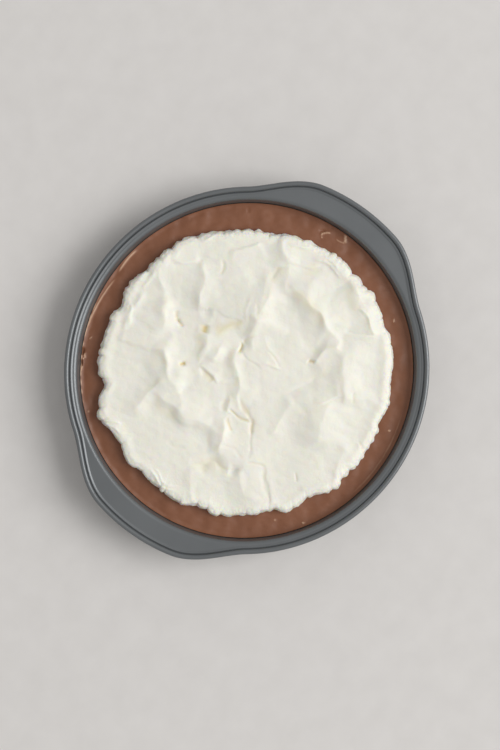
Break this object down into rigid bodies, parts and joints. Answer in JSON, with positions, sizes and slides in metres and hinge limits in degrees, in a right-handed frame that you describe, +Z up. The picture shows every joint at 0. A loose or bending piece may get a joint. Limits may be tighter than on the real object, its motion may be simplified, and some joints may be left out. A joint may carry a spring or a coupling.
{
  "type": "french silk pie",
  "caption": "Round chocolate filling topped with a folded spread of whipped cream, in its own dark coated steel tin with side handles.",
  "frame": {"origin": "on the surface the tin stands on, under the middle of the tin's outline", "axes": "+Z up; +X out through one handle of the tin and -X through the other; +Y across them"},
  "size_m": [0.271, 0.2456, 0.0386],
  "materials": {
    "coated_steel": "satin",
    "chocolate": "satin",
    "cream": "matte"
  },
  "bodies": {
    "root": {"tin": "coated_steel", "chocolate_filling": "chocolate", "whipped_cream": "cream"}
  },
  "joints": []
}
